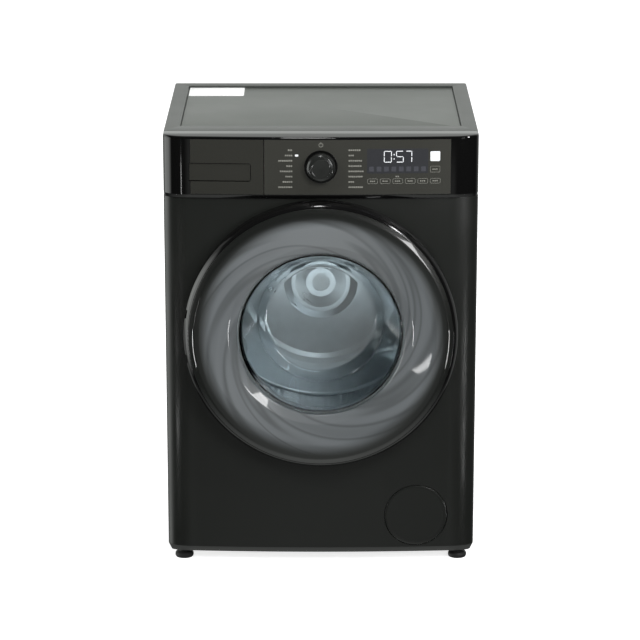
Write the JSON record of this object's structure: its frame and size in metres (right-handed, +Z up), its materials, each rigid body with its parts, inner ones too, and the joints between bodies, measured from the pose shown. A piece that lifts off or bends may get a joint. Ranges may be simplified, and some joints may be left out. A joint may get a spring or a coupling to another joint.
{
  "type": "front load washing machine",
  "caption": "Front loading washing machine with a round glazed door, dispenser drawer, programme knob, touch display, suspended tub and driven drum.",
  "frame": {"origin": "on the floor below the centre of the machine's bounding box", "axes": "+X to the right as seen from the front, +Y into the machine so the door faces -Y, +Z up"},
  "size_m": [0.597, 0.584, 0.85],
  "materials": {
    "panel_paint": "satin dark grey paint",
    "worktop": "grey-green moulded worktop",
    "worktop_board": "laminated chipboard, grey-green",
    "label": "blank white label",
    "fascia": "piano black",
    "overlay": "smoked overlay",
    "drawer_face": "smoked drawer face",
    "tray_plastic": "white grey polypropylene",
    "knob": "dark satin knob",
    "circuit": "circuit board",
    "door_trim": "gloss black trim",
    "door_cover": "tinted cover with printed swirl",
    "door_glass": "pressed glass bowl",
    "door_inner": "black moulding",
    "zinc": "zinc plated",
    "screw_steel": "zinc plated",
    "lock_plastic": "white nylon",
    "gasket_rubber": "grey rubber",
    "tub_plastic": "glass filled polypropylene",
    "iron": "painted casting",
    "heater_steel": "nickel plated tube",
    "bearing_steel": "ground steel",
    "motor": "black motor case",
    "motor_pulley": "turned steel",
    "belt": "ribbed rubber belt",
    "drum_steel": "stainless drum",
    "lifter": "grey moulding",
    "aluminium": "cast aluminium",
    "spring_steel": "spring steel",
    "damper": "grey damper tube",
    "damper_rod": "white damper rod",
    "base_plastic": "black base",
    "pump_plastic": "white pump moulding",
    "filter_cap": "dark cap",
    "hose_rubber": "black rubber hose",
    "valve_plastic": "white nylon",
    "gland_plastic": "black gland",
    "foot_rubber": "black foot",
    "galvanised": "galvanised sheet"
  },
  "bodies": {
    "cabinet": {"left_side_panel": "panel_paint", "right_side_panel": "panel_paint", "rear_panel": "galvanised", "rear_service_cover": "galvanised", "front_panel": "panel_paint", "base_pan": "base_plastic", "top_cross_brace": "galvanised", "worktop_frame": "worktop", "worktop_board": "worktop_board", "blank_label": "label", "control_fascia": "fascia", "control_overlay": "overlay", "control_board": "circuit", "dispenser_housing": "tray_plastic", "hinge_bracket": "zinc", "door_lock": "lock_plastic", "door_gasket": "gasket_rubber", "suspension_springs": "spring_steel", "damper_cylinders": "damper", "filter_housing": "pump_plastic", "drain_pump": "pump_plastic", "sump_hose": "hose_rubber", "drain_hose": "hose_rubber", "drain_outlet": "gland_plastic", "inlet_valve": "valve_plastic", "dispenser_hoses": "hose_rubber", "electronics_box": "valve_plastic", "cord_gland": "gland_plastic", "transit_hole_caps": "gland_plastic", "case_screws": "screw_steel"},
    "door": {"door_outer_ring": "door_trim", "door_cover": "door_cover", "door_bowl": "door_glass", "door_inner_ring": "door_inner", "door_screws": "screw_steel", "door_hook": "zinc", "door_knuckle": "zinc"},
    "drawer": {"drawer_front": "drawer_face", "drawer_tray": "tray_plastic"},
    "knob": {"programme_knob": "knob"},
    "filter_flap": {"filter_cover": "panel_paint"},
    "filter_plug": {"filter_cap": "filter_cap"},
    "tub": {"tub_front": "tub_plastic", "tub_rear": "tub_plastic", "counterweights": "iron", "heater": "heater_steel", "bearing_set": "bearing_steel", "motor": "motor", "drive_belt": "belt", "damper_rods": "damper_rod"},
    "drum": {"drum_shell": "drum_steel", "drum_lifters": "lifter", "drum_spider": "aluminium", "drum_pulley": "aluminium", "pulley_bolt": "screw_steel"},
    "motor_rotor": {"motor_pulley": "motor_pulley"},
    "foot_front_left": {"foot_front_left": "foot_rubber"},
    "foot_front_right": {"foot_front_right": "foot_rubber"},
    "foot_rear_left": {"foot_rear_left": "foot_rubber"},
    "foot_rear_right": {"foot_rear_right": "foot_rubber"}
  },
  "joints": [
    {"name": "door_hinge", "type": "hinge", "parent": "cabinet", "child": "door", "pos_m": [-0.233, -0.279, 0.469], "axis": [0, 0, -1], "range_deg": [0, 125]},
    {"name": "drawer_slide", "type": "slide", "parent": "cabinet", "child": "drawer", "axis": [0, -1, 0], "range_m": [0, 0.18]},
    {"name": "knob_turn", "type": "hinge", "parent": "cabinet", "child": "knob", "pos_m": [0, -0.26, 0.793], "axis": [0, 1, 0], "continuous": true},
    {"name": "filter_cover_pull", "type": "slide", "parent": "cabinet", "child": "filter_flap", "axis": [0, -1, 0], "range_m": [0, 0.04]},
    {"name": "filter_cap_turn", "type": "hinge", "parent": "cabinet", "child": "filter_plug", "pos_m": [0.185, -0.21, 0.097], "axis": [0, -1, 0], "range_deg": [0, 270]},
    {"name": "tub_bounce", "type": "slide", "parent": "cabinet", "child": "tub", "axis": [0, 0, 1], "range_m": [-0.012, 0.007], "stiffness_N_per_m": 9000, "springref_m": 0.041, "deforming": ["suspension_springs", "door_gasket", "dispenser_hoses", "sump_hose"]},
    {"name": "drum_spin", "type": "hinge", "parent": "tub", "child": "drum", "pos_m": [0, 0.15, 0.469], "axis": [0, 1, 0], "continuous": true},
    {"name": "motor_spin", "type": "hinge", "parent": "tub", "child": "motor_rotor", "pos_m": [0.095, 0.2, 0.158], "axis": [0, 1, 0], "continuous": true},
    {"name": "foot_front_left_turn", "type": "hinge", "parent": "cabinet", "child": "foot_front_left", "pos_m": [-0.268, -0.205, 0.02], "axis": [0, 0, 1], "range_deg": [-360, 360]},
    {"name": "foot_front_right_turn", "type": "hinge", "parent": "cabinet", "child": "foot_front_right", "pos_m": [0.268, -0.205, 0.02], "axis": [0, 0, 1], "range_deg": [-360, 360]},
    {"name": "foot_rear_left_turn", "type": "hinge", "parent": "cabinet", "child": "foot_rear_left", "pos_m": [-0.268, 0.25, 0.02], "axis": [0, 0, 1], "range_deg": [-360, 360]},
    {"name": "foot_rear_right_turn", "type": "hinge", "parent": "cabinet", "child": "foot_rear_right", "pos_m": [0.268, 0.25, 0.02], "axis": [0, 0, 1], "range_deg": [-360, 360]}
  ],
  "couplings": [
    {"joint": "motor_spin", "follows": "drum_spin", "ratio": 12.727}
  ]
}
